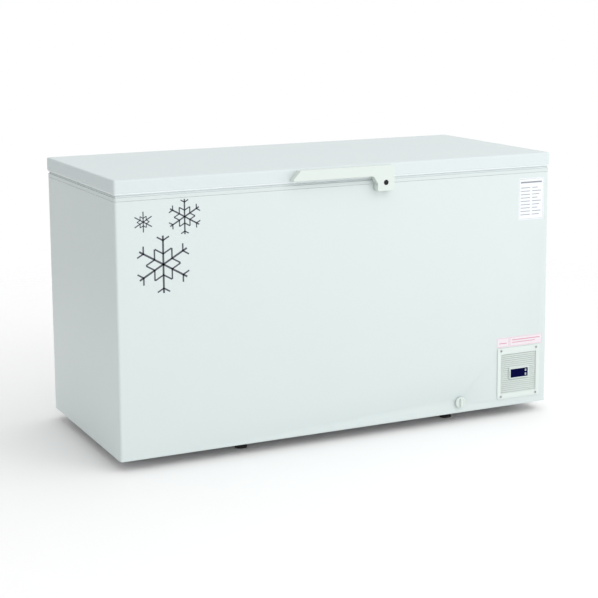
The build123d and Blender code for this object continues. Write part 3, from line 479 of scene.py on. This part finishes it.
left, right = GRILLE[0] - GRILLE_SIZE[0] / 2, GRILLE[0] + GRILLE_SIZE[0] / 2
bottom, top = GRILLE[1] - GRILLE_SIZE[1] / 2, GRILLE[1] + GRILLE_SIZE[1] / 2
grille_proud = 0.003
panel_shape = rounded((left, bottom), (right, top), 0.005)
panel = outline_plate("grille_panel", panel_shape, FRONT - grille_proud, FRONT, grille_plastic)
field = (GRILLE[0] - 0.0715, bottom + 0.017, GRILLE[0] + 0.0715, bottom + 0.156)
field_shape = rounded(field[:2], field[2:], 0.003)
cut(panel, outline_plate("field", field_shape, FRONT - past, FRONT + past, grille_plastic))
soften(panel, 0.0008, 3, 50)
grille_pieces = [panel]
blade_count = 20
pitch = (field[3] - field[1]) / blade_count
display_half = (0.0392, 0.0192)
display_left, display_right = WINDOW[0] - display_half[0], WINDOW[0] + display_half[0]
display_low, display_high = WINDOW[1] - display_half[1], WINDOW[1] + display_half[1]
blade_reach, blade_thin, blade_slope = 0.0046, 0.0008, 46
for row in range(blade_count):
    z = field[1] + (row + 0.5) * pitch
    beside = display_low - 0.0036 < z < display_high + 0.0036
    spans = [(field[0], display_left), (display_right, field[2])] if beside else [(field[0], field[2])]
    for start, end in spans:
        blade = block(
            "louvre", (start - 0.0004, -blade_reach, -blade_thin), (end + 0.0004, blade_reach, blade_thin),
            grille_plastic, 0.0005, 2,
        )
        blade.data.transform(Matrix.Rotation(math.radians(blade_slope), 4, "X"))
        blade.data.transform(Matrix.Translation((0, FRONT + 0.0010, z)))
        grille_pieces.append(blade)
for x in (GRILLE[0] - 0.040, GRILLE[0] + 0.052):
    post = block(
        "louvre_post", (x - 0.0012, FRONT + 0.0046, field[1]), (x + 0.0012, FRONT + 0.0066, field[3]),
        grille_plastic, 0.0004,
    )
    grille_pieces.append(post)
lip_in, lip_hollow_in = 0.0085, 0.011
lip_shape = rounded((left + lip_in, bottom + lip_in), (right - lip_in, top - lip_in), 0.0045)
lip = outline_plate("grille_lip", lip_shape, FRONT, FRONT + 0.010, grille_plastic)
lip_hollow_shape = rounded(
    (left + lip_hollow_in, bottom + lip_hollow_in), (right - lip_hollow_in, top - lip_hollow_in), 0.003
)
cut(lip, outline_plate("lip_hollow", lip_hollow_shape, FRONT - 0.01, FRONT + 0.02, grille_plastic))
grille_pieces.append(lip)
seat_shape = around(WINDOW, (display_half[0] + 0.001, display_half[1] + 0.001), 0.002)
frame_plate = outline_plate("display_seat", seat_shape, FRONT - grille_proud, FRONT, grille_plastic)
seat_hole_shape = around(WINDOW, (0.0330, 0.0130), 0.001)
cut(frame_plate, outline_plate("seat_hole", seat_hole_shape, FRONT - past, FRONT + past, grille_plastic))
grille_pieces.append(soften(frame_plate, 0.0004, 2, 50))
grille = join("front_grille", grille_pieces)
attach(grille, "cabinet")
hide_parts("front_grille")

grille_screw_pieces = [
    screw(
        "grille_screw", (GRILLE[0] + side * 0.071, FRONT - grille_proud, GRILLE[1] + end * 0.0805),
        0.004, 0.0016, -1,
    )
    for side in (-1, 1)
    for end in (-1, 1)
]
grille_screws = join("grille_screws", grille_screw_pieces)
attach(grille_screws, "cabinet")
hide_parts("grille_screws")

# Display bezel: a white frame with a soft inner step round the dark window.

bezel_shape = around(WINDOW, (0.039, 0.019), 0.0025)
bezel = outline_plate("display_bezel", bezel_shape, FRONT - 0.005, FRONT - grille_proud, enamel)
window_half = (WINDOW_SIZE[0] / 2, WINDOW_SIZE[1] / 2)
window_shape = around(WINDOW, window_half, 0.001)
cut(bezel, outline_plate("window_room", window_shape, FRONT - past, FRONT - 0.0035, enamel))
soften(bezel, 0.0005, 3, 50)
case_half = (0.0327, 0.0127)
case = block(
    "display_case", (WINDOW[0] - case_half[0], FRONT - 0.0031, WINDOW[1] - case_half[1]),
    (WINDOW[0] + case_half[0], FRONT + 0.040, WINDOW[1] + case_half[1]), black_plastic, 0.0006,
)
for dz in (-0.007, 0.007):
    room = block(
        "key_room", (WINDOW[0] + 0.0226, FRONT - past, WINDOW[1] + dz - 0.0044),
        (WINDOW[0] + 0.0294, FRONT + 0.0016, WINDOW[1] + dz + 0.0044), enamel, 0,
    )
    twin = room.copy()
    twin.data = room.data.copy()
    bpy.context.scene.collection.objects.link(twin)
    cut(bezel, room)
    cut(case, twin)
controller = join("display_bezel", [bezel, case])
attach(controller, "cabinet")
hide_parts("controller_case")

# Drain plug: a round cap with a raised grip bar across it and a fluted edge.

cap_back = FRONT - 0.0023
cap_radius, cap_thick, flute_count = 0.0185, 0.007, 24
cap_middle = cap_back - cap_thick / 2
cap = drum("drain_cap", (DRAIN[0], cap_middle, DRAIN[1]), cap_radius, cap_thick, grille_plastic, "Y", 0.0018)
dish = drum(
    "cap_dish", (DRAIN[0], cap_back - cap_thick, DRAIN[1]), 0.0145, 0.0024, grille_plastic, "Y", 0.0006
)
cut(cap, dish)
grip = block(
    "cap_grip", (DRAIN[0] - 0.003, cap_back - 0.0138, DRAIN[1] - 0.0146),
    (DRAIN[0] + 0.003, cap_back - 0.004, DRAIN[1] + 0.0146), grille_plastic, 0.0016, 4,
)
stem = drum("cap_stem", (DRAIN[0], cap_back + 0.010, DRAIN[1]), 0.0116, 0.024, grille_plastic, "Y", 0.001)
flutes = []
for step in range(flute_count):
    turn = 2 * math.pi * step / flute_count
    x, z = DRAIN[0] + cap_radius * math.cos(turn), DRAIN[1] + cap_radius * math.sin(turn)
    flutes.append(drum("flute", (x, cap_middle, z), 0.0006, 0.0048, grille_plastic, "Y", 0.0002, 12))
cut(cap, join("flutes", flutes))
drain = join("drain_plug", [cap, grip, stem])
soften(drain, 0)
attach(drain, "drain_plug")
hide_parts("drain_plug")

# Plain plates: pale ground with thin printed outlines and bars.


def frame_lines(name, low, high, line, y, finish):
    """A thin printed outline."""
    shape = outline_plate(name, rounded(low, high, 0.0015, 4), y - 0.0001, y, finish)
    inner_low = (low[0] + line, low[1] + line)
    inner_high = (high[0] - line, high[1] - line)
    inner = rounded(inner_low, inner_high, 0.001, 4)
    return cut(shape, outline_plate("inside", inner, y - 0.001, y + 0.001, finish))


def bar(low, high, y, finish):
    """A short printed bar with rounded ends."""
    radius = min(0.0006, (high[1] - low[1]) / 3)
    return outline_plate("printed_bar", rounded(low, high, radius, 3), y - 0.0001, y, finish)


sticker_y = FRONT - 0.0003
sticker_shape = rounded((0.657, 0.680), (0.760, 0.823), 0.003)
sticker = outline_plate("data_plate", sticker_shape, sticker_y, FRONT, label_white)
marks = [frame_lines("plate_outline", (0.660, 0.683), (0.757, 0.820), 0.0006, sticker_y, label_grey)]
for row in range(9):
    z = 0.790 - row * 0.0115
    marks.append(bar((0.666, z - 0.0011), (0.704, z + 0.0011), sticker_y, label_grey))
    bar_end = 0.734 + 0.014 * ((row * 5) % 3) / 2
    marks.append(bar((0.712, z - 0.0011), (bar_end, z + 0.0011), sticker_y, label_grey))
marks.append(bar((0.666, 0.806), (0.751, 0.811), sticker_y, label_grey))
data_plate = join("data_plate", [sticker, *marks])
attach(data_plate, "cabinet")

cells = [
    outline_plate(name, rounded((start, 0.2425), (end, 0.277), 0.0015), sticker_y, FRONT, label_pink)
    for name, start, end in (("tinted_cell", 0.578, 0.6285), ("plain_cell", 0.6295, 0.764))
]
lower_marks = [
    frame_lines("cell_outline", (0.6315, 0.2445), (0.762, 0.275), 0.0006, sticker_y, label_rose),
    frame_lines("cell_outline", (0.580, 0.2445), (0.6265, 0.275), 0.0006, sticker_y, label_rose),
    bar((0.640, 0.2640), (0.7535, 0.2665), sticker_y, label_rose),
    bar((0.640, 0.2555), (0.7340, 0.2575), sticker_y, label_rose),
    bar((0.588, 0.2555), (0.6185, 0.2580), sticker_y, label_rose),
]
lower_plate = join("two_cell_plate", [*cells, *lower_marks])
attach(lower_plate, "cabinet")

# Corner motif: three plain six-armed ice crystals printed in dark grey.

motif_y = FRONT - 0.00025


def stroke(start, end, width):
    """A printed straight stroke between two points."""
    along = Vector((end[0] - start[0], end[1] - start[1])).normalized() * (width / 2)
    side = Vector((-along[1], along[0]))
    corners = [(start, -along - side), (end, along - side), (end, along + side), (start, side - along)]
    shape = [(point[0] + offset[0], point[1] + offset[1]) for point, offset in corners]
    return outline_plate("stroke", shape, motif_y, FRONT, motif_grey)


def crystal(centre, radius, width, branches):
    """Six arms, each with paired side branches that get shorter towards the tip."""
    strokes = []
    for arm in range(6):
        turn = math.radians(30 + 60 * arm)
        out = Vector((math.cos(turn), math.sin(turn)))
        tip = (centre[0] + out[0] * radius, centre[1] + out[1] * radius)
        strokes.append(stroke(centre, tip, width))
        for branch in range(branches):
            share = 0.38 + 0.48 * branch / max(branches - 1, 1)
            root = (centre[0] + out[0] * radius * share, centre[1] + out[1] * radius * share)
            reach = radius * (0.34 - 0.10 * branch)
            for side in (-1, 1):
                lean = turn + side * math.radians(60)
                end = (root[0] + math.cos(lean) * reach, root[1] + math.sin(lean) * reach)
                strokes.append(stroke(root, end, width * 0.8))
    return strokes


motif = join("corner_motif", [
    *crystal((-0.628, 0.640), 0.086, 0.0060, 2),
    *crystal((-0.556, 0.782), 0.052, 0.0046, 2),
    *crystal((-0.690, 0.775), 0.030, 0.0034, 1),
])
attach(motif, "cabinet")

# Lid liner: shallow pressed beads across the plug, as on a vacuum-formed sheet.

beads = [
    block("liner_bead", (x - 0.007, -0.175, 0.8163), (x + 0.007, 0.175, 0.8182), liner_plastic, 0.0016, 4)
    for x in (-0.54, -0.36, -0.18, 0.0, 0.18, 0.36, 0.54)
]
bead_set = join("liner_beads", beads)
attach(bead_set, "lid")

# Drain strainer: a pierced disc that sits in the floor of the tub over the drain tube.

inlet = Vector((0.330, -0.150, 0.1363))
hole_ring, hole_count = 0.0135, 8
strainer = drum("drain_strainer", inlet, 0.024, 0.0024, chrome, "Z", 0.0008)
holes = []
for step in range(hole_count):
    turn = 2 * math.pi * step / hole_count
    at = inlet + Vector((math.cos(turn), math.sin(turn), 0)) * hole_ring
    holes.append(drum("strainer_hole", at, 0.0028, 0.02, chrome, "Z", 0, 20))
centre_hole = drum("strainer_hole", inlet, 0.0040, 0.02, chrome, "Z", 0, 24)
cut(strainer, join("strainer_holes", holes), centre_hole)
soften(strainer, 0)
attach(strainer, "cabinet")

# Rear panel screws: small pan heads round the panel's edge.

rear_screws = join("rear_panel_screws", [
    screw("rear_screw", (x, REAR, z), 0.0034, 0.0013, 1)
    for x, z in (
        [(side * 0.752, z) for side in (-1, 1) for z in (0.055, 0.250, 0.440, 0.630, 0.822)]
        + [(x, 0.050) for x in (-0.50, -0.25, 0.0, 0.25, 0.50)]
    )
])
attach(rear_screws, "cabinet")

# Hinge screws: pan heads with cross recesses on both hinge leaves.

cabinet_screws = join("hinge_cabinet_screws", [
    screw("hinge_screw", (x + side * 0.031, 0.348, z), 0.004, 0.0016, 1)
    for x in HINGE_X for side in (-1, 1) for z in (0.808, 0.829)
])
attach(cabinet_screws, "cabinet")
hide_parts("hinge_cabinet_screws")
lid_screws = join("hinge_lid_screws", [
    screw("hinge_screw", (x + side * 0.031, 0.3505, 0.8935), 0.004, 0.0016, 1)
    for x in HINGE_X for side in (-1, 0, 1)
])
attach(lid_screws, "lid")
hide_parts("hinge_lid_screws")

# Floor and light: an even pale room, brighter from the front and right than from the left.

bpy.ops.object.select_all(action="DESELECT")
bpy.ops.mesh.primitive_plane_add(size=60, location=(0, 0, -0.0002))
floor_finish, floor_surface, floor_place = material("floor", (0.96, 0.96, 0.96), 0.9)
across = floor_place.axis(0)
along = floor_place.axis(1)
distance = (across * across + along * along).math("SQRT")
fade = ((distance - 1.6) / 1.6).math("MAXIMUM", 0.0).math("MINIMUM", 1.0)
clear = fade.node("ShaderNodeBsdfTransparent")
held = Socket(floor_finish.node_tree, floor_surface.outputs["BSDF"])
blend = fade.node("ShaderNodeMixShader", None, 0, i0=fade, i1=held, i2=clear)
floor_end = floor_finish.node_tree.nodes["Material Output"]
floor_finish.node_tree.links.new(blend.output, floor_end.inputs["Surface"])
floor = settle(bpy.context.object, "floor", floor_finish)

world = bpy.data.worlds.new("room")
world.use_nodes = True
bpy.context.scene.world = world
tree = world.node_tree
tree.nodes.clear()
direction = Socket(tree, tree.nodes.new("ShaderNodeTexCoord").outputs["Generated"])
level = direction.axis(0) * 0.42 - direction.axis(1) * 0.20 + 1.0
lit = level.node("ShaderNodeBackground", None, 0, Strength=level, Color=(1, 1, 1, 1))
plain = level.node("ShaderNodeBackground", None, 0, Strength=1.0, Color=(1, 1, 1, 1))
path = tree.nodes.new("ShaderNodeLightPath")
seen = Socket(tree, path.outputs["Is Camera Ray"])
both = lit.node("ShaderNodeMixShader", None, 0, i0=seen, i1=lit, i2=plain)
output = tree.nodes.new("ShaderNodeOutputWorld")
tree.links.new(both.output, output.inputs["Surface"])

bpy.ops.object.light_add(type="AREA", location=(1.6, -3.4, 3.2))
key = bpy.context.object
key.name = "key light"
key.data.shape = "RECTANGLE"
key.data.size = 2.6
key.data.size_y = 1.8
key.data.energy = 26
key.rotation_euler = (Vector((0, 0, 0.5)) - key.location).to_track_quat("-Z", "Y").to_euler()

# Camera: matched to the photograph's corners.

camera_data = bpy.data.cameras.new("camera")
camera = bpy.data.objects.new("camera", camera_data)
bpy.context.scene.collection.objects.link(camera)
camera_data.sensor_width = 36.0
camera_data.lens = 36.0 * 1527.276 / 598.0
camera_data.shift_y = -(299.0 - 221.0) / 598.0
camera_data.clip_end = 100.0
azimuth, elevation, roll = (math.radians(v) for v in (25.596, 8.969, -0.392))
flat = math.cos(elevation)
forward = Vector((math.sin(azimuth) * flat, math.cos(azimuth) * flat, -math.sin(elevation)))
level_right = forward.cross(Vector((0, 0, 1))).normalized()
level_up = level_right.cross(forward)
right_axis = level_right * math.cos(roll) + level_up * math.sin(roll)
up_axis = level_up * math.cos(roll) - level_right * math.sin(roll)
rotation = Matrix((right_axis, up_axis, -forward)).transposed()
camera.matrix_world = Matrix.Translation((-2.231143, -4.649501, 1.492835)) @ rotation.to_4x4()
bpy.context.scene.camera = camera
bpy.context.scene.view_settings.view_transform = "Standard"
